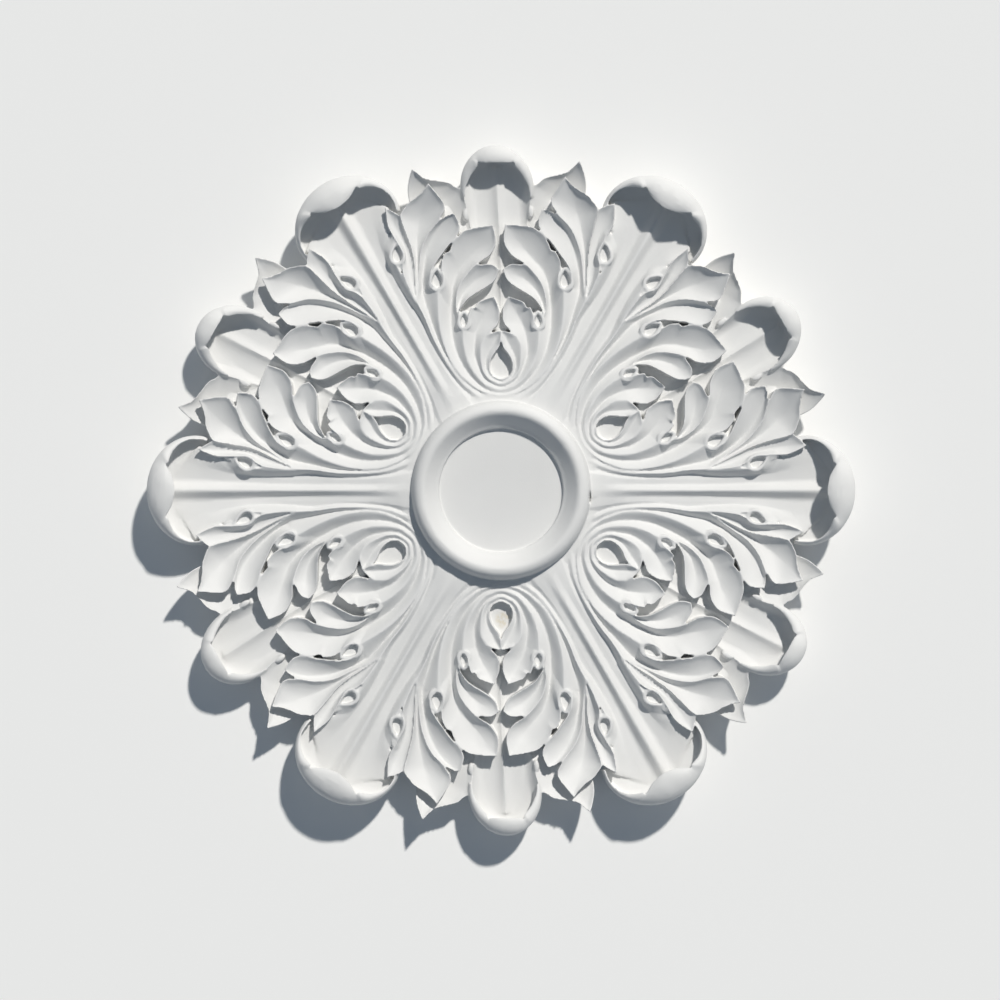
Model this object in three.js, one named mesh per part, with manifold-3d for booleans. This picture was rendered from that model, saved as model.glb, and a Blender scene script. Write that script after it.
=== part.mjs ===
// A ceiling rose: one moulded casting of six main acanthus leaves, six lesser leaves
// between and behind them, and a half-round ring around a flat centre disc.
// Millimetres, +Z up: the flat back lies on z = 0 and the carved face looks up.
import * as THREE from 'three';
import { mergeVertices } from 'three/addons/utils/BufferGeometryUtils.js';
import Module from 'manifold-3d';

// Driving dimensions
const LEAVES = 6;
const MAIN_REACH = 353;
const LESSER_REACH = 345;
const RING_RADIUS = 76.3;
const RING_SECTION = 13.3;
const RING_CREST = 52;
const DISC_RADIUS = 62;
const DISC_HEIGHT = 32;
const BED_RADIUS = 270;
const BED_HEIGHT = 16;
const ROUNDING = 1e-3;
const FACE_COLOUR = 0xebecea;

// The back draws in under the leaf tips, from DRAFT_START out
const DRAFT_START = 225;
const DRAFT_END = 345;
const DRAFT = 0.075;

// How finely round and flowing stretches are divided
const RING_SIDES = 36;
const RING_ARC_STEPS = 5;
const BED_SIDES = 24;
const TIP_STEPS = 6;

const SECTOR = (2 * Math.PI) / LEAVES;
const HALF_SECTOR = SECTOR / 2;

// The carving of one half of a main leaf, drawn in a frame whose y axis runs out along the
// lesser leaf beside it. Each line runs through points [x, y, height], and on a main leaf's
// own midrib through [distance, height].
// Ridges and valleys run as nested U shapes from the ring up to where the leaflets part.
const TEARDROP_RIM = [[0, 111.5, 33], [11, 118, 34], [12.5, 129, 34], [6, 145, 34]];
const VALLEY_D1 = [[0, 109.5, 31], [12, 118, 31], [15, 131, 30], [9, 147, 30]];
const RIDGE_D = [[0, 106.5, 33], [14, 113, 34], [20, 131, 34], [15, 154, 34]];
const VALLEY_D2 = [[0, 103.5, 30], [18, 115, 30], [26, 136, 29], [25, 157, 28]];
const RIDGE_3 = [[0, 100.5, 33], [20, 110, 34], [34, 132, 35], [38, 161, 35]];
const VALLEY_C = [[0, 97, 30], [27, 111, 30], [45, 141, 28], [50.5, 180, 26]];
const RIDGE_2 = [[0, 94.5, 33], [36, 110.5, 34], [57, 146, 35], [63, 201, 35]];
const VALLEY_B = [[0, 91.5, 30], [34, 111, 30], [62, 149, 28], [79, 200, 26]];
const RIDGE_1 = [[12, 86, 33], [40, 107.5, 34], [67, 151, 35], [84, 188, 34]];
const VALLEY_STEM = [[22, 84, 31], [46, 110, 29], [71, 151, 27], [90, 186, 24]];

const FLANK_STEM = [[17, 85, 33], [44, 109, 32.5], [70, 151, 33], [88, 187, 31]];
const FLOOR_STEM = [[32, 78, 35.5], [54, 106, 33], [78, 148, 31], [97, 182, 28.5]];
const AXIS_STEM = [[84, 37], [120, 35], [165, 33], [207, 31]].map(onMainAxis);
const AXIS_FLOOR = [[230, 25.4], [252, 25.2], [274, 25], [298, 24.7], [332, 24.3]].map(onMainAxis);

const STEMS = [
  { left: TEARDROP_RIM, midrib: VALLEY_D1, right: RIDGE_D },
  { left: RIDGE_D, midrib: VALLEY_D2, right: RIDGE_3 },
  { left: RIDGE_3, midrib: VALLEY_C, right: RIDGE_2 },
  { left: RIDGE_2, midrib: VALLEY_B, right: RIDGE_1 },
  { left: RIDGE_1, midrib: FLANK_STEM, right: VALLEY_STEM },
  { left: VALLEY_STEM, midrib: FLOOR_STEM, right: AXIS_STEM },
];

const end = (line) => line[line.length - 1];

// Borders that two leaflets share before they part
const BORDER_C = [end(RIDGE_3), [45, 192, 31], [27, 224, 34]];
const BORDER_B = [end(RIDGE_1), [78, 228, 28], [60, 272, 35]];
const BORDER_A = [end(RIDGE_1), [88, 236, 27], [97, 280, 35]];
const PIPE_TOP = [end(RIDGE_1), [95, 210, 35], [103, 228, 37]];
const FLOOR_EDGE = [[104, 208, 22], [114, 229, 22], [117, 243, 22], [109, 262, 22]];
const LESSER_EDGE = [[5, 190, 14], [24, 258, 18], [30, 284, 24], [35, 306, 27]];

// The main leaf's leaflets and bed: the left edge, midrib and right edge of each hollowed blade
const LEAFLETS = [
  {
    left: [end(TEARDROP_RIM), [2, 150, 34], [-1, 159, 34]],
    midrib: [end(VALLEY_D1), [6, 151, 31], [-1, 159, 34]],
    right: [end(RIDGE_D), [8, 157.5, 35], [-1, 159, 34]],
  },
  {
    left: [end(RIDGE_D), [4, 166, 33], [2, 178, 33], [7, 194, 32]],
    midrib: [end(VALLEY_D2), [20, 170, 28], [14, 181, 29], [7, 194, 32]],
    right: [end(RIDGE_3), [33, 172, 35], [28, 185, 34], [7, 194, 32]],
  },
  {
    left: [end(RIDGE_3), [39.5, 180, 34], [12, 205, 33], [2, 221, 33]],
    midrib: [end(RIDGE_3), [42, 187, 28], [24, 212, 27], [2, 221, 33]],
    right: [...BORDER_C, [2, 225, 34]],
  },
  {
    left: [...BORDER_C, [7, 240, 34], [3, 266, 35]],
    midrib: [end(VALLEY_C), [47, 207, 25], [37, 228, 25], [20, 248, 27], [3, 266, 35]],
    right: [end(RIDGE_2), [58, 214, 36], [56, 234, 35], [32, 262, 36], [3, 266, 35]],
  },
  {
    left: [end(RIDGE_2), [68, 216, 36], [50, 247, 35], [37, 267, 35], [41, 281, 35]],
    midrib: [end(VALLEY_B), [74, 226, 25], [62, 250, 26], [50, 268, 29], [41, 281, 35]],
    right: [...BORDER_B, [50, 278, 36], [41, 281, 35]],
  },
  {
    left: [...BORDER_B, [51, 288, 36], [64, 313, 40]],
    midrib: [end(RIDGE_1), [83, 230, 29], [79, 268, 27], [72, 292, 29], [64, 313, 40]],
    right: [...BORDER_A, [86, 295, 36], [64, 313, 40]],
  },
  {
    left: [...BORDER_A, [104, 283, 36], [110, 285, 36], [114, 287, 36]],
    midrib: [
      end(RIDGE_1), [92, 222, 31], [96, 242, 29], [101, 260, 29], [107, 274, 30], [114, 287, 36],
    ],
    right: [...PIPE_TOP, [97, 241, 37], [109, 259, 36], [114, 287, 36]],
  },
  {
    left: [...PIPE_TOP, [109, 239, 37], [104, 251, 36]],
    midrib: [end(FLANK_STEM), [99, 209, 31], [109, 228, 33], [113, 241, 33], [106, 255, 32]],
    right: [end(VALLEY_STEM), ...FLOOR_EDGE.slice(0, 3), [113, 261, 18]],
  },
  {
    left: [end(VALLEY_STEM), ...FLOOR_EDGE, [111, 299, 32]],
    midrib: [
      end(FLOOR_STEM), [112, 203, 25], [124, 225, 24], [130, 246, 22], [134, 264, 22], [146, 288, 23],
    ],
    right: [end(AXIS_STEM), ...AXIS_FLOOR],
  },
];

// Half of a lesser leaf: its bed, and the pointed side leaflet
const LESSER_STRIPS = [
  {
    left: [[0, 190, 20], [0, 258, 20], [0, 286, 20], [0, 324, 19]],
    midrib: [[4, 190, 14], [5, 258, 15], [13, 286, 16], [17, 324, 16]],
    right: LESSER_EDGE,
  },
  {
    left: [...LESSER_EDGE.slice(1), [62, 317, 32], [80, 329, 40]],
    midrib: [[46, 256, 18], [52, 282, 18], [58, 300, 21], [69, 314, 27], [80, 329, 40]],
    right: [[88, 256, 18], [88, 272, 20], [88, 298, 24], [85, 312, 30], [80, 329, 40]],
  },
];

// The curled tips: how far they reach, where the curl starts, how wide it is, the heights of
// its outermost line at the end and at the sides, and the size of the roll
const MAIN_TIP = {
  turn: HALF_SECTOR, reach: MAIN_REACH, start: 303, halfWidth: 54,
  height: 44, sideHeight: 30, bulge: 18, lip: 29,
};
const LESSER_TIP = {
  turn: 0, reach: LESSER_REACH, start: 302, halfWidth: 37,
  height: 35, sideHeight: 24, bulge: 15, lip: 21,
};
const SIDE_LIP = 9;
const SIDE_BULGE = 5;
const TIP_SWEEP = 1.08 * Math.PI;
const TIP_FOOT = 22;
const TIP_FOOT_DEPTH = 2;
const CURL_THICKNESS = 11;

// A point on the midrib of a main leaf
function onMainAxis([distance, height]) {
  return turned([0, distance, height], HALF_SECTOR);
}

const wasm = await Module();
wasm.setup();

// The point of the flat back under a point of the face, drawn in towards the centre
function footOf([x, y]) {
  const reach = (Math.hypot(x, y) - DRAFT_START) / (DRAFT_END - DRAFT_START);
  const outer = Math.max(0, Math.min(1, reach));
  const scale = 1 - DRAFT * outer;
  return [x * scale, y * scale, Math.max(0, BED_HEIGHT * (1 - 4 * outer))];
}

function solidFrom(points, triangles) {
  const flat = new THREE.BufferGeometry();
  flat.setAttribute('position', new THREE.Float32BufferAttribute(points.flat(), 3));
  flat.setIndex(triangles);
  const merged = mergeVertices(flat, ROUNDING);
  const vertProperties = new Float32Array(merged.getAttribute('position').array);
  const kept = [];
  const index = merged.index.array;
  for (let k = 0; k < index.length; k += 3) {
    const [a, b, c] = [index[k], index[k + 1], index[k + 2]];
    if (a !== b && b !== c && c !== a) kept.push(a, b, c);
  }
  return new wasm.Manifold(new wasm.Mesh({ numProp: 3, vertProperties, triVerts: new Uint32Array(kept) }));
}

// A closed body skinned over sections that all have the same count of points. Each face is
// split from its lower near corner, so that two bodies split the wall they share alike.
function skin(sections, flip) {
  const count = sections[0].length;
  const triangles = [];
  const face = (a, b, c) => triangles.push(...(flip ? [a, c, b] : [a, b, c]));
  for (let i = 0; i + 1 < sections.length; i += 1) {
    for (let j = 0; j < count; j += 1) {
      const next = (j + 1) % count;
      const [a, b] = [i * count + j, i * count + next];
      if (sections[i][j][2] < sections[i][next][2]) {
        face(a, b, b + count);
        face(a, b + count, a + count);
      } else {
        face(a, b, a + count);
        face(b, b + count, a + count);
      }
    }
  }
  const last = (sections.length - 1) * count;
  for (let j = 1; j + 1 < count; j += 1) {
    face(0, j + 1, j);
    face(last, last + j, last + j + 1);
  }
  return solidFrom(sections.flat(), triangles);
}

// Sections of a blade between two edges and its midrib, standing on the flat back
function bladeSections({ left, midrib, right }) {
  return left.map((edge, k) => [footOf(edge), edge, midrib[k], right[k], footOf(right[k])]);
}

// Sections of a curled tip: a wall that rises round the end of the leaf and rolls back over it
function tipSections({ turn, reach, start, halfWidth, height, sideHeight, bulge, lip }) {
  const sections = [];
  for (let i = 0; i <= TIP_STEPS; i += 1) {
    const angle = (i / TIP_STEPS - 0.5) * TIP_SWEEP;
    const crown = Math.max(0, Math.cos(angle));
    const [x, y] = [Math.sin(angle) * halfWidth, Math.cos(angle) * (reach - start)];
    const middle = sideHeight + (height - sideHeight) * crown;
    const roll = SIDE_BULGE + (bulge - SIDE_BULGE) * crown;
    const over = SIDE_LIP + (lip - SIDE_LIP) * crown;
    const at = (inset, z) => {
      const scale = 1 - inset / Math.hypot(x, y);
      return turned([x * scale, start + y * scale, z], turn);
    };
    sections.push([
      at(TIP_FOOT, 0),
      at(0, middle),
      at(over * 0.5, middle + roll),
      at(over, middle + roll * 0.7),
      at(CURL_THICKNESS, middle - roll * 0.5),
      at(TIP_FOOT + TIP_FOOT_DEPTH, 0),
    ]);
  }
  return sections;
}

function turned([x, y, z], angle) {
  const [c, s] = [Math.cos(angle), Math.sin(angle)];
  return [x * c + y * s, y * c - x * s, z];
}

const mirrored = ([x, y, z]) => [-x, y, z];

// Neighbouring sectors share walls, so their corners are rounded to the same figures
const rounded = (value) => Math.round(value / ROUNDING) * ROUNDING;

function turnedProfile(points, sides) {
  const profile = points.map(([x, y]) => new THREE.Vector2(x, y));
  const geometry = new THREE.LatheGeometry(profile, sides);
  const position = geometry.getAttribute('position');
  const corners = [];
  for (let i = 0; i < position.count; i += 1) {
    corners.push([position.getX(i), -position.getZ(i), position.getY(i)]);
  }
  return solidFrom(corners, Array.from(geometry.index.array));
}

function ringAndDisc() {
  const centre = RING_CREST - RING_SECTION;
  const profile = [[0, 0], [RING_RADIUS + RING_SECTION, 0]];
  for (let i = 0; i <= RING_ARC_STEPS; i += 1) {
    const angle = (Math.PI * i) / RING_ARC_STEPS;
    profile.push([RING_RADIUS + RING_SECTION * Math.cos(angle), centre + RING_SECTION * Math.sin(angle)]);
  }
  profile.push([DISC_RADIUS, DISC_HEIGHT], [0, DISC_HEIGHT]);
  return turnedProfile(profile, RING_SIDES);
}

function roundBed() {
  return turnedProfile([[0, 0], [BED_RADIUS, 0], [BED_RADIUS, BED_HEIGHT], [0, BED_HEIGHT]], BED_SIDES);
}

const joined = (solids) => solids.reduce((whole, solid) => whole.add(solid));

// Copies of one body round the rose
function around(sections, flip = false) {
  return Array.from({ length: LEAVES }, (_, k) => {
    const place = (point) => turned(point, k * SECTOR).map(rounded);
    return skin(sections.map((section) => section.map(place)), flip);
  });
}

// Both halves of every leaf, joined from bodies that meet wall to wall
function leavesFrom(bodies) {
  const halves = bodies.flatMap((sections) => {
    const otherSide = sections.map((section) => section.map(mirrored));
    return [...around(sections), ...around(otherSide, true)];
  });
  return joined(halves);
}

function buildRose() {
  const mainLeaves = leavesFrom([...STEMS, ...LEAFLETS].map(bladeSections));
  const lesserLeaves = leavesFrom(LESSER_STRIPS.map(bladeSections));
  const tips = joined([MAIN_TIP, LESSER_TIP].flatMap((tip) => around(tipSections(tip))));
  return joined([mainLeaves, lesserLeaves, roundBed(), tips, ringAndDisc()]);
}

function toGeometry(solid) {
  const { vertProperties, triVerts } = solid.getMesh();
  const geometry = new THREE.BufferGeometry();
  geometry.setAttribute('position', new THREE.BufferAttribute(vertProperties, 3));
  geometry.setIndex(new THREE.BufferAttribute(triVerts, 1));
  return geometry;
}

const rose = new THREE.Group();
const casting = new THREE.Mesh(
  toGeometry(buildRose()),
  new THREE.MeshStandardMaterial({ color: FACE_COLOUR, roughness: 0.75, metalness: 0 }),
);
casting.name = 'ceiling_rose';
rose.add(casting);

export default rose;
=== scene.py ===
"""Looks of a moulded ceiling rose: its carved relief, its white finish, a floor and light."""
import math

import bmesh
import bpy
import numpy as np
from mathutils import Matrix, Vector


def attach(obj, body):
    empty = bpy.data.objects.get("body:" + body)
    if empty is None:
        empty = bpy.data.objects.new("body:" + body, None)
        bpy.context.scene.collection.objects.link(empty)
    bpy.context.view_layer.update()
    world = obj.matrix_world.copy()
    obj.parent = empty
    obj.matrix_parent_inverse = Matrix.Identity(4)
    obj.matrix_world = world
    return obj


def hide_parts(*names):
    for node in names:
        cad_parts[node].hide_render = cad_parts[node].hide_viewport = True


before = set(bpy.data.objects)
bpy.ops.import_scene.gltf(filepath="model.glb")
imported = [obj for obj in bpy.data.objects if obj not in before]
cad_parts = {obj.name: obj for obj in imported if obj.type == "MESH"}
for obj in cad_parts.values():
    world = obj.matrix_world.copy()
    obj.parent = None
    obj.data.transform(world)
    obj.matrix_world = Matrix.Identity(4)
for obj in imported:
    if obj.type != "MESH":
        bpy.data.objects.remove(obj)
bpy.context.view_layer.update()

bl_info = {
    "name": "Ceiling rose",
    "version": (1, 0, 0),
    "blender": (4, 5, 0),
    "location": "View3D > Sidebar > Rose",
    "description": "Builds a moulded ceiling rose of acanthus leaves, its finish and its stage",
    "category": "Object",
}

MILLIMETRE = 0.001
LEAVES = 6
SECTOR = 2 * math.pi / LEAVES

# How finely each body is sampled before all of them are fused into one skin
ROWS = 56
COLUMNS = 12
CURVE_STEPS = 12
TIP_STEPS = 140
LATHE_SIDES = 240
SMOOTH_FACTOR = 0.5

# The casting's thickness at a free edge, and how far the edge hangs over
EDGE_THICKNESS = 3.0
OVERHANG = 0.30
OVERHANG_STEP = 0.22
OVERHANG_START = 0.55

# The thin bead along the free edges of the blades
BEAD = 1.4
BEAD_WIDTH = 2.4
BEAD_GROWTH = 3.0

# The back draws in under the leaf tips between these distances from the middle
DRAFT_START = 225
DRAFT_END = 345
DRAFT = 0.075

# The lesser leaf and the leaflets beside it lean anticlockwise beyond this distance
LEAN = 0.05
LEAN_START = 225
LEAN_RUN = 40
LEAN_FULL_ANGLE = math.radians(15)
LEAN_END_ANGLE = math.radians(26)

# The carving of one half of a main leaf, in millimetres, in a frame whose y axis runs out
# along the lesser leaf beside it. Each line is a smooth curve through points [x, y, height].
TEARDROP_RIM = [
    [0, 111.5, 35], [7, 114, 34.5], [11, 120, 35], [11, 128, 35.5], [8, 135, 36],
    [3.5, 141, 36.5], [1.2, 145, 36.5],
]
VALLEY_D1 = [
    [0, 109, 31.5], [8, 112.5, 31.5], [14, 121, 31], [15, 130, 31], [12, 139, 31.5], [8, 146, 32],
]
RIDGE_D = [
    [0, 106.5, 35], [12, 111, 35], [18, 120, 35.5], [20, 132, 36], [20, 145, 36], [15, 154, 36],
]
VALLEY_D2 = [
    [0, 103.5, 31.5], [10, 107.5, 31.5], [18, 115, 31], [23, 126, 30], [26.5, 138, 29],
    [25, 157, 28],
]
RIDGE_3 = [
    [0, 100.5, 35], [15, 105, 35], [27, 118, 36], [34, 132, 36], [37.5, 147, 36.5], [38, 161, 36.5],
]
VALLEY_C = [
    [0, 97.2, 31.5], [15, 101, 31.5], [30, 114, 31], [40, 129, 30], [46, 143, 28.5],
    [49.5, 160, 26.5], [50.5, 180, 25],
]
RIDGE_2 = [
    [0, 94.5, 35], [20, 99, 35], [38, 112, 36], [50, 128, 36], [57, 145, 36.5], [62, 170, 37],
    [63, 201, 37],
]
VALLEY_B = [
    [0, 91.7, 31.5], [15, 96, 31.5], [30, 107, 31.5], [50, 130.5, 31], [64, 153, 30],
    [76, 188, 27.5], [79, 200, 26],
]
RIDGE_1 = [
    [12, 86, 34], [27, 97, 35], [40, 108, 35.5], [52, 124, 36], [67, 151, 36.5], [75, 170, 36.5],
    [84, 188, 36.5],
]
VALLEY_STEM = [
    [22, 84, 33], [30, 95, 33], [42, 106, 32.5], [62, 134, 31.5], [71, 151, 30.5], [80, 172, 29],
    [90, 186, 28],
]
PIPE_EDGE = [[90, 186, 28], [104, 208, 27.5], [113, 227, 28], [117, 243, 29.5], [112, 258, 32]]
FLOOR_EDGE = VALLEY_STEM + PIPE_EDGE[1:] + [[108, 272, 31], [110, 290, 29.5]]
PIPE_TOP = [
    [84, 188, 36.5], [93, 205, 37], [102.5, 222, 38], [108.8, 230, 38], [109.6, 238, 37],
    [107.5, 246, 35.5], [107, 254, 33],
]
BORDER_C = [[38, 161, 36.5], [44, 176, 34], [45, 192, 33], [40, 208, 33], [27, 224, 35]]
BORDER_B = [[84, 188, 36.5], [82.5, 212, 31], [79.5, 238, 31], [71, 260, 33], [60, 272, 36]]
BORDER_A = [
    [84, 188, 36.5], [86, 205, 34.5], [87, 225, 33.5], [89, 245, 34], [93, 262, 36], [97, 280, 38],
]

# The ribs and flutes along a main leaf's middle, as points [across, along, height]
MAIN_RIB = [
    [0, 84, 36.6], [0, 100, 36.8], [0, 115, 37], [0, 132, 36.9], [0, 165, 36], [0, 207, 34.6],
    [0, 240, 34], [0, 270, 33.6], [0, 300, 33], [0, 335, 31],
]
FLUTE = [
    [8, 84, 36.2], [8, 100, 36], [7.5, 115, 35], [6.5, 132, 33.5], [6.5, 165, 31],
    [6.5, 207, 28.4], [7.5, 240, 27.2], [9, 270, 26.6], [10, 300, 26], [11, 332, 25.5],
]
LESSER_RIB = [
    [17, 84, 35.8], [15, 100, 35.6], [13, 115, 34.8], [11.5, 132, 33.8], [11, 165, 31.3],
    [11, 207, 28.7], [13, 240, 27.7], [17, 270, 27.4], [20, 300, 27], [22, 325, 26.5],
]

# Leaflets: the left edge, midrib and right edge of each hollowed blade
LEAFLETS = [
    (
        [[1.2, 145, 36.5], [0.5, 150, 36.5], [0.2, 155, 36], [-0.5, 160, 35.5]],
        [[8, 146, 32], [5, 152, 32.5], [-0.5, 160, 35]],
        [[15, 154, 36], [8, 158, 36], [-0.5, 160, 35.5]],
    ),
    (
        [[15, 154, 36], [8, 161, 35.5], [3, 167, 35], [1.5, 174, 35], [2, 182, 35], [7, 194, 36]],
        [[25, 157, 28], [21, 168, 28], [15, 179, 29.5], [10, 187, 32], [7, 194, 36]],
        [[38, 161, 36.5], [34, 168, 37], [32.2, 176, 37], [29.5, 183, 36.5], [26, 182.5, 36.5],
         [23, 188, 36], [16, 191, 36], [7, 194, 36]],
    ),
    (
        [[38, 161, 36.5], [42.3, 168, 37], [42.3, 177, 37], [37, 187, 36], [30, 194, 35.5],
         [12, 205, 35], [5, 212, 35], [2, 221, 35.5]],
        [[41, 171, 32], [42, 182, 28.5], [36, 199, 27.5], [22, 213, 28.5], [2, 221, 35.5]],
        BORDER_C + [[18, 226, 35.5], [9, 226, 35.5], [2, 221, 35.5]],
    ),
    (
        BORDER_C + [[20, 229, 35.5], [12, 234, 35.5], [6, 241, 35.5], [2.5, 250, 36], [4, 266, 37]],
        [[50.5, 180, 25], [49, 195, 24.5], [46, 210, 24.5], [41, 222, 25], [33, 231, 26],
         [20, 246, 28.5], [4, 266, 37]],
        [[63, 201, 37], [57.8, 208, 37.5], [57.5, 216, 37.5], [60, 223, 37], [58.5, 231, 36.5],
         [54, 239, 36.5], [50, 240.5, 36], [47.5, 247, 36], [41, 256, 36.5], [30, 263.5, 37.5],
         [4, 266, 37]],
    ),
    (
        [[63, 201, 37], [69.3, 207, 37.5], [70.5, 215, 37.5], [67, 224, 37], [58, 237, 36.5],
         [50, 248, 36.5], [42, 257, 36.5], [37, 267, 37], [41, 281, 38]],
        [[79, 200, 25], [78.5, 215, 24.5], [75, 235, 25], [69, 252, 26.5], [60, 267, 29],
         [50, 277, 33], [41, 281, 38]],
        BORDER_B + [[50, 279, 37.5], [41, 281, 38]],
    ),
    (
        BORDER_B + [[54, 280, 37.5], [50, 287, 38], [52, 295, 38.5], [64, 313, 42]],
        [[84, 190, 34], [83.5, 205, 29], [84, 225, 27], [83, 245, 26], [80, 265, 26],
         [75, 283, 28], [64, 313, 42]],
        BORDER_A + [[90, 291, 38], [85, 296, 38.5], [78, 300, 39], [70, 306, 40], [64, 313, 42]],
    ),
    (
        [[84, 188, 34], [85.5, 205, 31], [86.5, 225, 29], [88, 245, 30], [92, 262, 32.5],
         [97, 280, 36], [114, 287, 38]],
        [[86, 192, 34], [92, 214, 31], [94.5, 236, 29.5], [99, 256, 30], [105, 271, 32],
         [110, 280, 35.5], [114, 287, 38]],
        [[84, 188, 36.5], [93, 205, 37], [98.8, 221, 38], [97.3, 230, 38], [98, 239, 38],
         [103, 249, 37.5], [110, 261, 37], [113, 270, 37], [114, 287, 38]],
    ),
]

# Bodies that rise from a valley to a ridge
ARCH_HALVES = [
    (VALLEY_D1, TEARDROP_RIM), (VALLEY_D1, RIDGE_D), (VALLEY_D2, RIDGE_D), (VALLEY_D2, RIDGE_3),
    (VALLEY_C, RIDGE_3), (VALLEY_C, RIDGE_2), (VALLEY_B, RIDGE_2),
]
STEM_HALVES = [(VALLEY_B, RIDGE_1), (VALLEY_STEM, RIDGE_1), (PIPE_EDGE, PIPE_TOP)]

# How scooped a body is at its start and at its end: 0 is round like a pipe, 1 is hollow with a
# crisp rim. The higher the crispness, the thinner the rim.
STEM_SCOOP = (0.0, 0.35)
BLADE_SCOOP = (0.35, 0.9)
BED_SCOOP = (1.0, 1.0)
RIM_CRISPNESS = 2.0
AXIS_CRISPNESS = 4.0

# Half of a lesser leaf: its hollow bed, its rolled rim and the pointed leaflet at its side
LESSER_AXIS = [
    [0, 140, 23], [0, 195, 24], [0, 230, 24.5], [-1.8, 262, 25], [-3.5, 295, 25.5], [-5, 325, 25],
]
LESSER_VALLEY = [
    [9, 140, 20.5], [10, 195, 20.5], [13, 230, 20.5], [18, 262, 20.5], [17, 295, 20.5],
    [19, 325, 20.5],
]
LESSER_RIM = [
    [16, 140, 20], [18, 195, 20], [20, 230, 21], [26, 262, 24], [29, 287, 31], [31.5, 302, 34],
    [30, 312, 34],
]
SIDE_LEAFLET = (
    [[23, 255, 20], [28, 284, 28], [32, 303, 31], [38, 308, 32], [45, 313, 33], [65, 318, 35],
     [72, 323, 38], [78.5, 329, 42]],
    [[48, 252, 17], [53, 280, 19], [61, 298, 22], [70, 313, 29], [78.5, 329, 42]],
    [[82, 252, 18], [83, 278, 22], [85, 298, 27], [85, 310, 32], [82, 321, 37], [78.5, 329, 42]],
)

# Low mounds: the floors of the eyes where leaflets part, the beds of the gaps between leaflets, and
# the drop at the foot of a lesser leaf's rim. Centre, half length, half width and height of each.
MOUNDS = [
    (36.8, 170, 10, 6, 31.5), (64, 213, 14, 8.5, 31), (103.5, 237, 14, 8, 31.5),
    (60, 229, 12, 6, 28), (110, 256, 9, 5, 30), (50, 283, 9, 8, 24), (35, 266, 8, 6, 23.5),
    (100.8, 223.5, 5.5, 3.4, 36.3), (106, 252.5, 7.5, 4.2, 36), (30, 281, 8, 6, 24),
    (30, 279, 6, 3, 31), (0, 126, 26, 12, 25.5), (0, 166, 9, 8, 28),
]

# A mound's dome: the share of its width, and how far below its top, of each ring
MOUND_DOME = ((1.0, 3), (0.8, 0.8), (0.02, 0))
MOUND_SIDES = 24

# The raised loops round the eyes: centre, half length, half width and height of each
EYE_LOOPS = [
    (37.1, 170.5, 9, 5.6, 36.8), (64.2, 211.5, 11.3, 7, 37.2), (103.7, 237.5, 11.3, 6.8, 37.8),
]
LOOP_THICKNESS = 2.3
LOOP_STEPS = 40
LOOP_SIDES = 8

# How much deeper a loop's cord goes than it is round, and how wide a loop of unit size is
LOOP_SKIRT = 4.0
LOOP_WIDEST = 0.77

# The short slit where the ring meets the leaf at its right: place, half length, half width, depth
SLIT = (88.6, -6.6, 5.5, 1.3, 7.0)
SLIT_BLUR = 1.5
SLIT_ABOVE = 22.0

# The waviness: long slanting waves, as radians a millimetre across and up and a shift, and finer
# ripples across and up. It fades in above a height and beyond a distance from the middle.
WAVES = ((0.11, 0.07, 0.0), (-0.13, 0.09, 1.7))
RIPPLES = ((0.23, 0.5), (0.21, 2.1))
WAVE_DEPTH = 0.12
RIPPLE_DEPTH = 0.08
WAVE_HEIGHT = 6.0
WAVE_RISE = 10.0
WAVE_DISTANCE = 92.0
WAVE_RUN = 12.0

# Anything lower than this is pressed onto the flat back
BACK_HEIGHT = 0.8

# Curled tips, along the turn round the tip in degrees from its middle: how far the lip reaches
# in from the outline, how far in its crest lies, and the heights of its crest and of its waist
MAIN_TIP = {
    "turn": SECTOR / 2, "start": 306, "length": 47, "half_width": 55, "floor": 24.5, "sweep": 104,
    "at": [0, 10, 20, 28, 34, 38, 41, 43.5, 45, 46.5, 50, 55, 62, 74, 86, 104],
    "lip": [30, 29.7, 28.7, 27.3, 25.6, 23, 19, 15, 9, 15, 14.5, 12.5, 9.5, 6, 4, 4],
    "roll": [20, 20, 19.5, 18.8, 17.7, 16.7, 15.8, 14.8, 14, 13.2, 11.5, 9.5, 7, 5, 4.5, 5],
    "crest": [62, 62, 61.5, 60.7, 59.8, 58.9, 58.2, 57.5, 57, 58, 57.5, 55.5, 51, 45.5, 40.5, 35],
    "waist": [45, 45, 44.5, 43.7, 42.7, 41.9, 41.3, 40.7, 40.5, 40.2, 39.6, 38.2, 36, 33, 31, 28],
}
LESSER_TIP = {
    "turn": 0.0, "start": 303, "length": 42, "half_width": 37, "floor": 20, "sweep": 106,
    "at": [0, 8, 16, 24, 31, 34, 37, 40, 46, 58, 74, 88, 106],
    "lip": [19, 18.7, 17.8, 16, 13.5, 12, 8, 12.5, 12.5, 11, 9, 6.5, 4],
    "roll": [14, 14, 13.5, 13, 12, 11, 10, 9, 8.5, 7.5, 5.8, 4.4, 3.2],
    "crest": [50, 50, 49.5, 48.5, 47, 46, 45, 46, 44.5, 42, 39.5, 36.8, 34],
    "waist": [36, 36, 36, 35, 34, 33.5, 33, 33, 32, 31, 30, 29, 28],
}

# A tip's skin and the largest share of its roll that it takes, how far the lip thins, the angle by
# which the roll starts under its waist, and how far in from the outline its foot lies
TIP_SKIN = 5.0
TIP_SKIN_SHARE = 0.55
LIP_TAPER = 0.5
TUCK_ANGLE = 0.7
TIP_FOOT = 24.0
TIP_ARC_STEPS = 12

# Each tip's tables are averaged over these degrees
TIP_SOFTNESS = np.linspace(-1.5, 1.5, 5)

# Steps from a tip's wall down to its floor: how far in, the share of the wall's height, and the
# height over the floor
TIP_FALL = ((3, 0.5, 0), (9, 0, 1.5), (18, 0, 0))

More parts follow.
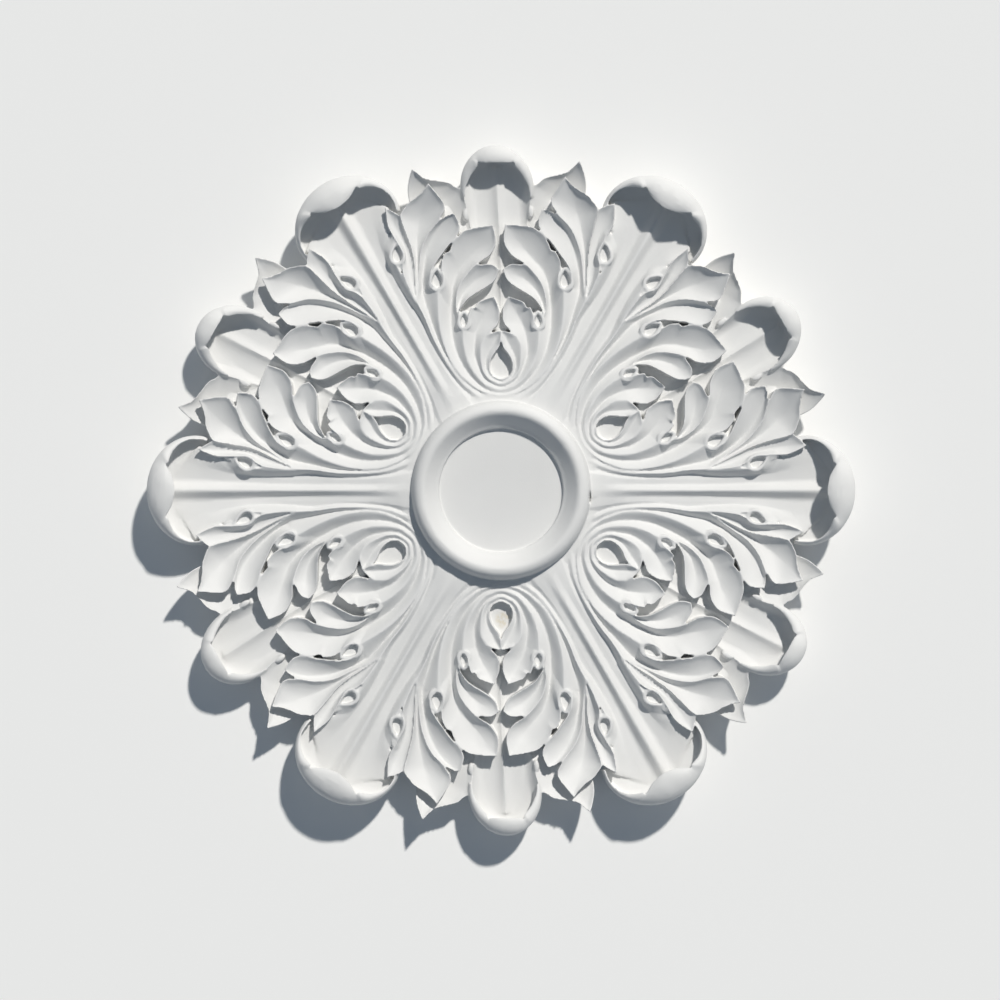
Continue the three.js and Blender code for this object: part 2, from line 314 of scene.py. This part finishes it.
# The hollows of the tips are smoothed: the heights over and under their floors that this takes in,
# its reach along and across a tip, how it fades, and its rounds
BOWL_DEPTH = 9.0
BOWL_UNDER = 4.0
BOWL_BLEND = 4.0
BOWL_FORWARD = 8.0
BOWL_LENGTH = 28.0
BOWL_WIDTH = 0.8
BOWL_FADE = 4.0
BOWL_ROUNDS = 40
BOWL_LEVELS = 8

# The rough yellowish patch in the lowest teardrop, in metres
STAIN_PLACE = (0.002, -0.1296, 0.0255)
STAIN_RADIUS = 0.010
STAIN_COLOUR = (0.66, 0.60, 0.46)

# The primer's noise, as scale and detail: patches of tone, patches of sheen, grain, and the stain
TONE_NOISE = (9.0, 5.0)
SHEEN_NOISE = (60.0, 4.0)
GRAIN_NOISE = (900.0, 3.0)
STAIN_NOISE = (260.0, 4.0)
NOISE_RANGE = (0.3, 0.7)
STAIN_NOISE_RANGE = (0.35, 0.65)
STAIN_CORE = 0.3
DULL_SHARE = 0.95
SHEEN_SPREAD = 0.07
SPECULAR = 0.35
GRAIN_STRENGTH = 0.15
GRAIN_DEPTH = 0.0004

# The stage, in metres, with the camera's sensor in millimetres
FLOOR_ROUGHNESS = 0.9
FLOOR_HEIGHT = -0.0005
SENSOR_WIDTH = 36.0
VIEW_END = 100.0
VIEW_TRANSFORM = "Standard"

# The ring with the disc inside it, and the bed under the leaves, as points [distance, height]
RING_FOOT = [[0, 0], [85, 0]]
RING_BOW = [
    [89.4, 30], [89.6, 36], [89, 41], [87.4, 46], [84.8, 49.8], [82, 51.5], [79.2, 52],
    [76.8, 51.4], [74.7, 49.7], [72.4, 46.9], [69, 43], [66, 39.6], [63.8, 37.4],
]
RING_BOW_STEPS = 40
RING_STEP = [[62.6, 37], [62.2, 36], [62.2, 32], [0, 32]]
BED_PROFILE = [
    [0, 0], [272, 0], [276, 12], [262, 19], [130, 20.5], [112, 26], [104, 30.5], [99, 33.2],
    [95, 34.2], [86, 34.2], [80, 28], [0, 28],
]


def eased(value):
    """A smooth step from 0 to 1."""
    value = np.clip(value, 0, 1)
    return value * value * (3 - 2 * value)


def smooth_line(points, count):
    """Evenly spaced places on a smooth curve through points."""
    points = np.array(points, float)
    ends = np.vstack([2 * points[0] - points[1], points, 2 * points[-1] - points[-2]])
    f = np.linspace(0, 1, CURVE_STEPS, endpoint=False)[:, None]
    runs = []
    for a, b, c, d in zip(ends, ends[1:], ends[2:], ends[3:]):
        bend = 2 * a - 5 * b + 4 * c - d + (3 * b - a - 3 * c + d) * f
        runs.append(0.5 * (2 * b + (c - a + bend * f) * f))
    fine = np.vstack(runs + [points[-1:]])
    steps = np.linalg.norm(np.diff(fine, axis=0), axis=1)
    length = np.concatenate([[0], np.cumsum(steps)])
    even = np.linspace(0, length[-1], count)
    return np.column_stack([np.interp(even, length, axis) for axis in fine.T])


def turned(points, angle):
    """Points turned clockwise about the middle."""
    c, s = math.cos(angle), math.sin(angle)
    x, y = points[..., 0], points[..., 1]
    return np.stack([x * c + y * s, y * c - x * s, points[..., 2]], axis=-1)


def on_main_leaf(line):
    """Points in a half sector's frame from places across and along a main leaf."""
    return turned(np.array(line, float) * [-1, 1, 1], SECTOR / 2)


def other_half(points):
    """The left half of a sector from its right half: mirrored, and leaning the same way."""
    x, y = points[..., 0], points[..., 1]
    angle = np.abs(np.arctan2(x, y))
    hold = eased((LEAN_END_ANGLE - angle) / (LEAN_END_ANGLE - LEAN_FULL_ANGLE))
    reach = np.maximum(0, y - LEAN_START)
    near = eased(reach / LEAN_RUN)
    left_x = -x - 2 * LEAN * reach * hold
    left_y = y - 2 * LEAN * x * hold * near
    return np.stack([left_x, left_y, points[..., 2]], axis=-1)


def past_middle(line):
    """A line that starts on a lesser leaf's axis, carried past it so both halves meet smoothly."""
    return [[-line[1][0], line[1][1], line[1][2]]] + line


def foot_of(points):
    """Places on the flat back under points of the face, drawn in towards the middle."""
    distance = np.hypot(points[..., 0], points[..., 1])
    scale = 1 - DRAFT * np.clip((distance - DRAFT_START) / (DRAFT_END - DRAFT_START), 0, 1)
    return np.stack([points[..., 0] * scale, points[..., 1] * scale, 0 * distance], axis=-1)


def rise_across(t, s, scoop, crispness):
    """How far a body has risen at each share s of its width, for each share t of its length."""
    if scoop is None:
        return eased(s)
    start, end = scoop
    hollow = (start + (end - start) * eased(t))[:, None]
    return (1 - hollow) * np.sin(s * math.pi / 2) + hollow * s ** crispness


def blade_half(low, high, scoop=None, crispness=RIM_CRISPNESS, overhang=0.0):
    """Sections of a body that rises from a valley line to a ridge or rim line."""
    valley, rim = smooth_line(low, ROWS), smooth_line(high, ROWS)
    t = np.linspace(0, 1, ROWS)
    s = np.linspace(0, 1, COLUMNS)[None, :]
    rise = rise_across(t, s, scoop, crispness)
    top = valley[:, None, :] + (rim - valley)[:, None, :] * s[:, :, None]
    top[:, :, 2] = valley[:, None, 2] + (rim - valley)[:, None, 2] * rise
    if overhang:
        width = np.hypot(*(rim - valley)[:, :2].T)[:, None]
        bead = BEAD * eased(BEAD_GROWTH * t)[:, None]
        top[:, :, 2] += bead * np.exp(-((1 - s) * width / BEAD_WIDTH) ** 2)
    back = np.maximum(0, np.arange(ROWS) - int(OVERHANG_STEP * ROWS))
    draw_in = overhang * eased((t - OVERHANG_START) / (1 - OVERHANG_START))
    under = rim + (valley[back] - rim) * draw_in[:, None]
    edge = rim - [0, 0, EDGE_THICKNESS]
    columns = [foot_of(valley)[:, None], top, edge[:, None], foot_of(under)[:, None]]
    return np.concatenate(columns, axis=1)


def tip_profile(tip, angle):
    """One section of a curled tip, as distances from its start and heights."""
    near = math.degrees(abs(angle)) + TIP_SOFTNESS
    lip, roll, crest, waist = [
        np.interp(near, tip["at"], tip[name]).mean() for name in ("lip", "roll", "crest", "waist")
    ]
    outline = 1 / math.hypot(math.cos(angle) / tip["length"], math.sin(angle) / tip["half_width"])
    middle, rise, floor = outline - roll, crest - waist, tip["floor"]
    skin = min(TIP_SKIN, TIP_SKIN_SHARE * roll)
    arc = np.linspace(-TUCK_ANGLE, math.acos(max(-1, 1 - lip / roll)), TIP_ARC_STEPS)
    depth = np.linspace(skin, LIP_TAPER * skin, TIP_ARC_STEPS)
    outer = [[middle + roll * math.cos(a), waist + rise * math.sin(a)] for a in arc]
    inner = [
        [middle + (roll - d) * math.cos(a), waist + (rise - d) * math.sin(a)] for a, d in zip(arc, depth)
    ]
    low_distance, low_height = inner[0]
    wall = low_height - floor
    fall = [[low_distance - step, floor + share * wall + lift] for step, share, lift in TIP_FALL]
    return [[outline - TIP_FOOT, 0]] + outer + inner[::-1] + fall + [[0, floor], [0, 0]]


def tip_sections(tip):
    """Sections of a curled tip: a wall that rises round the leaf's end and rolls back over it."""
    sweep = math.radians(tip["sweep"])
    sections = []
    for angle in np.linspace(-sweep, sweep, TIP_STEPS):
        c, s = math.cos(angle), math.sin(angle)
        profile = tip_profile(tip, angle)
        points = np.array([[distance * s, tip["start"] + distance * c, z] for distance, z in profile])
        sections.append(turned(points, tip["turn"]))
    return np.array(sections)


def lathe(profile):
    """Sections of a body turned about the middle from distances and heights."""
    profile = np.array(profile, float)
    angles = np.linspace(0, 2 * math.pi, LATHE_SIDES + 1)
    x = np.outer(np.cos(angles), profile[:, 0])
    y = np.outer(np.sin(angles), profile[:, 0])
    z = np.tile(profile[:, 1], (len(angles), 1))
    return np.stack([x, y, z], axis=-1)


def ring_profile():
    """The ring's profile, with the flat disc inside it."""
    return RING_FOOT + smooth_line(RING_BOW, RING_BOW_STEPS).tolist() + RING_STEP


def mound(x, y, half_length, half_width, height):
    """A low mound that stands on the back."""
    angles = np.linspace(0, 2 * math.pi, MOUND_SIDES + 1)
    dome = [(scale, height - drop) for scale, drop in MOUND_DOME]
    rings = []
    for scale, z in [(1.0, 0)] + dome:
        ring_x = x + half_width * scale * np.cos(angles)
        ring_y = y + half_length * scale * np.sin(angles)
        rings.append(np.stack([ring_x, ring_y, 0 * angles + z], axis=-1))
    return np.swapaxes(np.array(rings), 0, 1)


def eye_loop(x, y, half_length, half_width, height):
    """A raised cord round an eye, rounded at its base and pointed at its top."""
    path = np.linspace(-math.pi, math.pi, LOOP_STEPS)
    loop_x = x + half_width * np.sin(path) * np.cos(path / 2) / LOOP_WIDEST
    loop_y = y - half_length * np.cos(path)
    along = np.column_stack([np.gradient(loop_x), np.gradient(loop_y)])
    along /= np.linalg.norm(along, axis=1)[:, None]
    thickness = LOOP_THICKNESS * (0.5 + 0.5 * np.cos(path / 2))[:, None]
    round_angle = np.linspace(0, 2 * math.pi, LOOP_SIDES + 1)[None, :]
    side = thickness * np.cos(round_angle)
    section_x = loop_x[:, None] + along[:, 1:] * side
    section_y = loop_y[:, None] - along[:, :1] * side
    lift = np.sin(round_angle)
    section_z = height - LOOP_THICKNESS + thickness * np.where(lift < 0, LOOP_SKIRT * lift, lift)
    return np.stack([section_x, section_y, section_z], axis=-1)


def whole_blade(left, midrib, right):
    """Both halves of a hollowed blade, from its midrib to its free edges."""
    return [blade_half(midrib, edge, BLADE_SCOOP, overhang=OVERHANG) for edge in (left, right)]


def half_sector():
    """The bodies of one half of a main leaf and of the lesser leaf beside it."""
    bodies = [blade_half(past_middle(low), past_middle(high), STEM_SCOOP) for low, high in ARCH_HALVES]
    bodies += [blade_half(low, high, STEM_SCOOP) for low, high in STEM_HALVES]
    flute, rib = on_main_leaf(FLUTE), on_main_leaf(LESSER_RIB)
    bodies.append(blade_half(flute, on_main_leaf(MAIN_RIB)))
    bodies.append(blade_half(flute, rib))
    bodies.append(blade_half(FLOOR_EDGE, rib))
    for blade in LEAFLETS:
        bodies += whole_blade(*blade)
    bodies.append(blade_half(LESSER_VALLEY, LESSER_AXIS, BED_SCOOP, crispness=AXIS_CRISPNESS))
    bodies.append(blade_half(LESSER_VALLEY, LESSER_RIM, BED_SCOOP))
    bodies += whole_blade(*SIDE_LEAFLET)
    bodies += [mound(*place) for place in MOUNDS]
    bodies += [eye_loop(*eye) for eye in EYE_LOOPS]
    return bodies


def all_bodies():
    """Every body of the casting, round the rose."""
    right = half_sector()
    sector = right + [other_half(body) for body in right]
    sector.append(tip_sections(MAIN_TIP))
    lesser = tip_sections(LESSER_TIP)
    lesser[..., 0] -= LEAN * np.maximum(0, lesser[..., 1] - LEAN_START)
    sector.append(lesser)
    bodies = [turned(body, k * SECTOR) for k in range(LEAVES) for body in sector]
    return bodies + [lathe(ring_profile()), lathe(BED_PROFILE)]


def shell_mesh(bodies):
    """One mesh of many closed skins, each laid over its own sections."""
    points, faces, start = [], [], 0
    for body in bodies:
        rows, columns = body.shape[:2]
        points.append(body.reshape(-1, 3))
        for i in range(rows - 1):
            for j in range(columns):
                a, b = start + i * columns + j, start + i * columns + (j + 1) % columns
                faces.append((a, b, b + columns, a + columns))
        faces.append(tuple(range(start, start + columns)))
        faces.append(tuple(range(start + (rows - 1) * columns, start + rows * columns)))
        start += rows * columns
    mesh = bpy.data.meshes.new("ceiling_rose")
    mesh.from_pydata((np.vstack(points) * MILLIMETRE).tolist(), [], faces)
    return mesh


def apply_modifier(piece, kind, **settings):
    """Adds a modifier with settings and applies it."""
    modifier = piece.modifiers.new(kind.lower(), kind)
    for name, value in settings.items():
        setattr(modifier, name, value)
    bpy.context.view_layer.objects.active = piece
    bpy.ops.object.modifier_apply(modifier=modifier.name)


def places(mesh):
    """The mesh's vertex positions in millimetres."""
    flat = np.empty(len(mesh.vertices) * 3)
    mesh.vertices.foreach_get("co", flat)
    return flat.reshape(-1, 3) / MILLIMETRE


def put_places(mesh, points):
    """Moves the mesh's vertices to positions in millimetres."""
    mesh.vertices.foreach_set("co", (points * MILLIMETRE).ravel())
    mesh.update()


def hand_unevenness(points):
    """The slight waviness of a hand-carved master, in millimetres."""
    x, y = points[:, 0], points[:, 1]
    waves = sum(np.sin(across * x + up * y + shift) for across, up, shift in WAVES)
    ripples = [np.sin(rate * place + shift) for place, (rate, shift) in zip((x, y), RIPPLES)]
    return WAVE_DEPTH * waves + RIPPLE_DEPTH * ripples[0] * ripples[1]


def leaf_places(points, turn):
    """Places across and along the nearest of the leaves that stand at a turn, both halves alike."""
    angle = np.arctan2(points[:, 1], points[:, 0]) - turn
    off = np.abs(angle - SECTOR * np.round(angle / SECTOR))
    distance = np.hypot(points[:, 0], points[:, 1])
    return distance * np.sin(off), distance * np.cos(off)


def slit_depth(points):
    """How deep the slit beside the ring goes at each place, in millimetres."""
    x, y, half_length, half_width, deep = SLIT
    near = np.hypot((points[:, 0] - x) / half_width, (points[:, 1] - y) / half_length)
    return deep * eased(SLIT_BLUR - near)


def bowl_share(points):
    """How far each place belongs to the hollow of a curled tip, from 0 to 1."""
    height = points[:, 2]
    share = np.zeros(len(points))
    for tip, turn in ((MAIN_TIP, 0), (LESSER_TIP, SECTOR / 2)):
        across, along = leaf_places(points, turn)
        forward = along - tip["start"] - BOWL_FORWARD
        reach = np.hypot(across / (BOWL_WIDTH * tip["half_width"]), forward / BOWL_LENGTH)
        low = eased((tip["floor"] + BOWL_DEPTH - height) / BOWL_BLEND)
        above = height > tip["floor"] - BOWL_UNDER
        share = np.maximum(share, low * above * eased(BOWL_FADE * (1 - reach)))
    return share


def soften_bowls(piece):
    """Smooths the hollows of the curled tips, where several bodies meet."""
    levels = np.round(BOWL_LEVELS * bowl_share(places(piece.data))).astype(int)
    group = piece.vertex_groups.new(name="bowls")
    for level in range(1, BOWL_LEVELS + 1):
        group.add(np.flatnonzero(levels == level).tolist(), level / BOWL_LEVELS, "REPLACE")
    apply_modifier(piece, "SMOOTH", factor=SMOOTH_FACTOR, iterations=BOWL_ROUNDS, vertex_group="bowls")
    piece.vertex_groups.clear()


def carve(mesh):
    """The finer work on the fused casting: waviness, a slit, and a flat back."""
    points = places(mesh)
    distance = np.hypot(points[:, 0], points[:, 1])
    high = eased((points[:, 2] - WAVE_HEIGHT) / WAVE_RISE)
    outside = eased((distance - WAVE_DISTANCE) / WAVE_RUN)
    points[:, 2] += hand_unevenness(points) * high * outside
    points[:, 2] -= slit_depth(points) * (points[:, 2] > SLIT_ABOVE)
    points[points[:, 2] < BACK_HEIGHT, 2] = 0
    put_places(mesh, points)


def skins_of(work):
    """The vertices of each connected skin."""
    unseen = set(work.verts)
    skins = []
    while unseen:
        front, skin = [unseen.pop()], []
        while front:
            point = front.pop()
            skin.append(point)
            for edge in point.link_edges:
                other = edge.other_vert(point)
                if other in unseen:
                    unseen.remove(other)
                    front.append(other)
        skins.append(skin)
    return skins


def keep_outer_skin(mesh):
    """Removes every closed skin but the largest: the small voids left inside the casting."""
    work = bmesh.new()
    work.from_mesh(mesh)
    skins = sorted(skins_of(work), key=len)
    voids = [point for skin in skins[:-1] for point in skin]
    bmesh.ops.delete(work, geom=voids, context="VERTS")
    work.to_mesh(mesh)
    work.free()


def build_casting(settings):
    """The whole casting as one closed mesh."""
    piece = bpy.data.objects.new("rose_casting", shell_mesh(all_bodies()))
    bpy.context.collection.objects.link(piece)
    voxel = settings.voxel * 1
    apply_modifier(piece, "REMESH", mode="VOXEL", voxel_size=voxel, use_smooth_shade=True)
    apply_modifier(piece, "SMOOTH", factor=SMOOTH_FACTOR, iterations=settings.smoothing)
    soften_bowls(piece)
    carve(piece.data)
    triangles = sum(len(face.vertices) - 2 for face in piece.data.polygons)
    ratio = min(1.0, settings.triangles / triangles)
    apply_modifier(piece, "DECIMATE", ratio=ratio, use_collapse_triangulate=True)
    keep_outer_skin(piece.data)
    for face in piece.data.polygons:
        face.use_smooth = True
    apply_modifier(piece, "WEIGHTED_NORMAL", mode="FACE_AREA")
    return piece


def new_material(name):
    """A node material, its nodes, and a function that links one socket to another."""
    material = bpy.data.materials.new(name)
    material.use_nodes = True
    tree = material.node_tree
    return material, tree.nodes, tree.links.new


def noise(nodes, link, coords, scale, detail):
    """A noise texture laid on the object's own coordinates."""
    texture = nodes.new("ShaderNodeTexNoise")
    texture.inputs["Scale"].default_value = scale
    texture.inputs["Detail"].default_value = detail
    link(coords.outputs["Object"], texture.inputs["Vector"])
    return texture.outputs["Fac"]


def remapped(nodes, link, value, source, target):
    """A value carried from one range to another and held inside it."""
    node = nodes.new("ShaderNodeMapRange")
    for name, number in zip(("From Min", "From Max", "To Min", "To Max"), source + target):
        node.inputs[name].default_value = number
    link(value, node.inputs["Value"])
    return node.outputs["Result"]


def mixed(nodes, link, factor, first, second):
    """A mix of two colours, each a colour or a socket."""
    node = nodes.new("ShaderNodeMix")
    node.data_type = "RGBA"
    link(factor, node.inputs["Factor"])
    for name, colour in (("A", first), ("B", second)):
        socket = next(each for each in node.inputs if each.name == name and each.type == "RGBA")
        if isinstance(colour, bpy.types.NodeSocket):
            link(colour, socket)
        else:
            socket.default_value = list(colour) + [1]
    return next(each for each in node.outputs if each.type == "RGBA")


def stain_share(nodes, link, coords):
    """How far each place lies in the rough yellowish patch in the lowest teardrop."""
    away = nodes.new("ShaderNodeVectorMath")
    away.operation = "DISTANCE"
    link(coords.outputs["Object"], away.inputs[0])
    away.inputs[1].default_value = STAIN_PLACE
    fading = (STAIN_CORE * STAIN_RADIUS, STAIN_RADIUS)
    near = remapped(nodes, link, away.outputs["Value"], fading, (1.0, 0.0))
    blotches = noise(nodes, link, coords, *STAIN_NOISE)
    patchy = nodes.new("ShaderNodeMath")
    patchy.operation = "MULTIPLY"
    link(near, patchy.inputs[0])
    link(remapped(nodes, link, blotches, STAIN_NOISE_RANGE, (0.0, 1.0)), patchy.inputs[1])
    return patchy.outputs["Value"]


def primer_material(settings):
    """Matt white primer on moulded foam: fine grain, faint tone changes and soft sheen."""
    material, nodes, link = new_material("white_primer")
    shader = nodes["Principled BSDF"]
    shader.inputs["Specular IOR Level"].default_value = SPECULAR
    coords = nodes.new("ShaderNodeTexCoord")
    tone = remapped(nodes, link, noise(nodes, link, coords, *TONE_NOISE), NOISE_RANGE, (0.0, 1.0))
    dull = [DULL_SHARE * part for part in settings.colour]
    paint = mixed(nodes, link, tone, dull, settings.colour)
    colour = mixed(nodes, link, stain_share(nodes, link, coords), paint, STAIN_COLOUR)
    link(colour, shader.inputs["Base Color"])
    spread = (settings.roughness - SHEEN_SPREAD, settings.roughness + SHEEN_SPREAD)
    sheen = remapped(nodes, link, noise(nodes, link, coords, *SHEEN_NOISE), NOISE_RANGE, spread)
    link(sheen, shader.inputs["Roughness"])
    bump = nodes.new("ShaderNodeBump")
    bump.inputs["Strength"].default_value = GRAIN_STRENGTH
    bump.inputs["Distance"].default_value = GRAIN_DEPTH
    link(noise(nodes, link, coords, *GRAIN_NOISE), bump.inputs["Height"])
    link(bump.outputs["Normal"], shader.inputs["Normal"])
    return material


def floor_material(settings):
    """A plain pale floor."""
    material = new_material("pale_floor")[0]
    shader = material.node_tree.nodes["Principled BSDF"]
    shader.inputs["Base Color"].default_value = list(settings.floor_colour) + [1]
    shader.inputs["Roughness"].default_value = FLOOR_ROUGHNESS
    return material


def add_floor(settings):
    """A wide plain floor just under the rose's back."""
    half = settings.floor_size / 2
    corners = [(-half, -half), (half, -half), (half, half), (-half, half)]
    mesh = bpy.data.meshes.new("floor")
    mesh.from_pydata([(x, y, FLOOR_HEIGHT) for x, y in corners], [], [(0, 1, 2, 3)])
    mesh.materials.append(floor_material(settings))
    floor = bpy.data.objects.new("floor", mesh)
    bpy.context.collection.objects.link(floor)


def add_key_light(settings):
    """The key light, which shines from an azimuth and an elevation."""
    data = bpy.data.lights.new("key", "SUN")
    data.energy = settings.sun_strength
    data.color = settings.sun_colour
    data.angle = settings.sun_spread
    lamp = bpy.data.objects.new("key", data)
    azimuth, elevation = settings.sun_azimuth, settings.sun_elevation
    level = math.cos(elevation)
    towards = Vector((math.cos(azimuth) * level, math.sin(azimuth) * level, math.sin(elevation)))
    lamp.rotation_mode = "QUATERNION"
    lamp.rotation_quaternion = towards.to_track_quat("Z", "Y")
    bpy.context.collection.objects.link(lamp)


def add_sky(settings):
    """Even light from all round, and a pale backdrop where the view passes the floor's edge."""
    world = bpy.data.worlds.new("studio")
    world.use_nodes = True
    nodes, link = world.node_tree.nodes, world.node_tree.links.new
    light, backdrop = nodes["Background"], nodes.new("ShaderNodeBackground")
    light.inputs["Color"].default_value = list(settings.sky_colour) + [1]
    light.inputs["Strength"].default_value = settings.sky_strength
    backdrop.inputs["Color"].default_value = list(settings.floor_colour) + [1]
    backdrop.inputs["Strength"].default_value = settings.backdrop_strength
    path, choice = nodes.new("ShaderNodeLightPath"), nodes.new("ShaderNodeMixShader")
    link(path.outputs["Is Camera Ray"], choice.inputs["Fac"])
    link(light.outputs["Background"], choice.inputs[1])
    link(backdrop.outputs["Background"], choice.inputs[2])
    link(choice.outputs["Shader"], nodes["World Output"].inputs["Surface"])
    bpy.context.scene.world = world


def add_camera(settings):
    """A camera straight above the rose, its middle where the photograph has it."""
    data = bpy.data.cameras.new("camera")
    data.sensor_width = SENSOR_WIDTH
    data.lens = settings.lens
    data.clip_end = VIEW_END
    distance = settings.picture_width * data.lens / data.sensor_width
    camera = bpy.data.objects.new("camera", data)
    camera.location = (-settings.middle_x, -settings.middle_y, distance + settings.focus_height)
    bpy.context.collection.objects.link(camera)
    bpy.context.scene.camera = camera


class RoseSettings(bpy.types.PropertyGroup):
    """How the casting is made."""

    voxel: bpy.props.FloatProperty(
        name="Voxel", description="Grain of the fused skin", default=0.001, unit="LENGTH", precision=5)
    smoothing: bpy.props.IntProperty(
        name="Smoothing", description="Rounds of smoothing on the fused skin", default=2)
    triangles: bpy.props.IntProperty(
        name="Triangles", description="Most triangles in the finished mesh", default=190000)
    roughness: bpy.props.FloatProperty(
        name="Roughness", description="Roughness of the primer", default=0.62, subtype="FACTOR")
    colour: bpy.props.FloatVectorProperty(
        name="Colour", description="Colour of the primer", default=(0.78, 0.78, 0.77), subtype="COLOR")


class StageSettings(bpy.types.PropertyGroup):
    """How the rose is lit and seen."""

    floor_size: bpy.props.FloatProperty(
        name="Floor", description="Width of the floor", default=60.0, unit="LENGTH")
    floor_colour: bpy.props.FloatVectorProperty(
        name="Floor colour", description="Colour of the floor",
        default=(0.93, 0.93, 0.92), subtype="COLOR")
    sun_azimuth: bpy.props.FloatProperty(
        name="Key azimuth", description="Where the key light stands",
        default=math.radians(63), subtype="ANGLE")
    sun_elevation: bpy.props.FloatProperty(
        name="Key elevation", description="How high the key light stands",
        default=math.radians(46), subtype="ANGLE")
    sun_spread: bpy.props.FloatProperty(
        name="Key spread", description="How soft the key light's shadows are",
        default=math.radians(3), subtype="ANGLE")
    sun_strength: bpy.props.FloatProperty(
        name="Key strength", description="Strength of the key light", default=3.15)
    sun_colour: bpy.props.FloatVectorProperty(
        name="Key colour", description="Colour of the key light",
        default=(1.0, 0.968, 0.918), subtype="COLOR")
    sky_strength: bpy.props.FloatProperty(
        name="Fill strength", description="Strength of the light all round", default=0.2)
    sky_colour: bpy.props.FloatVectorProperty(
        name="Fill colour", description="Colour of the light all round",
        default=(0.66, 0.81, 1.0), subtype="COLOR")
    backdrop_strength: bpy.props.FloatProperty(
        name="Backdrop", description="Brightness of the backdrop past the floor", default=0.8)
    lens: bpy.props.FloatProperty(
        name="Lens", description="Focal length in millimetres", default=100.0)
    picture_width: bpy.props.FloatProperty(
        name="Picture width", description="Width seen at the leaves", default=1.0, unit="LENGTH")
    focus_height: bpy.props.FloatProperty(
        name="Leaf height", description="Height of the leaves above the floor",
        default=0.035, unit="LENGTH")
    middle_x: bpy.props.FloatProperty(
        name="Middle across", description="The rose's middle, right of the picture's",
        default=0.001, unit="LENGTH")
    middle_y: bpy.props.FloatProperty(
        name="Middle up", description="The rose's middle, above the picture's",
        default=0.0096, unit="LENGTH")


class ROSE_OT_casting(bpy.types.Operator):
    """Build the moulded casting and its finish"""

    bl_idname = "rose.casting"
    bl_label = "Build casting"

    def execute(self, context):
        settings = context.scene.rose_settings
        piece = build_casting(settings)
        piece.data.materials.append(primer_material(settings))
        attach(piece, "root")
        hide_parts("ceiling_rose")
        return {"FINISHED"}


class ROSE_OT_stage(bpy.types.Operator):
    """Build the floor, the light and the camera"""

    bl_idname = "rose.stage"
    bl_label = "Build stage"

    def execute(self, context):
        settings = context.scene.rose_stage
        add_floor(settings)
        add_key_light(settings)
        add_sky(settings)
        add_camera(settings)
        context.scene.view_settings.view_transform = VIEW_TRANSFORM
        return {"FINISHED"}


class ROSE_PT_panel(bpy.types.Panel):
    """The rose's sizes and buttons"""

    bl_idname = "ROSE_PT_panel"
    bl_label = "Ceiling rose"
    bl_space_type = "VIEW_3D"
    bl_region_type = "UI"
    bl_category = "Rose"

    def draw(self, context):
        for group in (context.scene.rose_settings, context.scene.rose_stage):
            for name in group.__annotations__:
                self.layout.prop(group, name)
        self.layout.operator(ROSE_OT_casting.bl_idname)
        self.layout.operator(ROSE_OT_stage.bl_idname)


CLASSES = (RoseSettings, StageSettings, ROSE_OT_casting, ROSE_OT_stage, ROSE_PT_panel)


def register():
    """Adds the classes and the scene's settings."""
    for each in CLASSES:
        bpy.utils.register_class(each)
    bpy.types.Scene.rose_settings = bpy.props.PointerProperty(type=RoseSettings)
    bpy.types.Scene.rose_stage = bpy.props.PointerProperty(type=StageSettings)


def unregister():
    """Takes the classes and the scene's settings away."""
    del bpy.types.Scene.rose_stage
    del bpy.types.Scene.rose_settings
    for each in reversed(CLASSES):
        bpy.utils.unregister_class(each)


def main():
    """Builds the whole scene."""
    register()
    bpy.ops.rose.casting()
    bpy.ops.rose.stage()


if __name__ == "__main__":
    main()
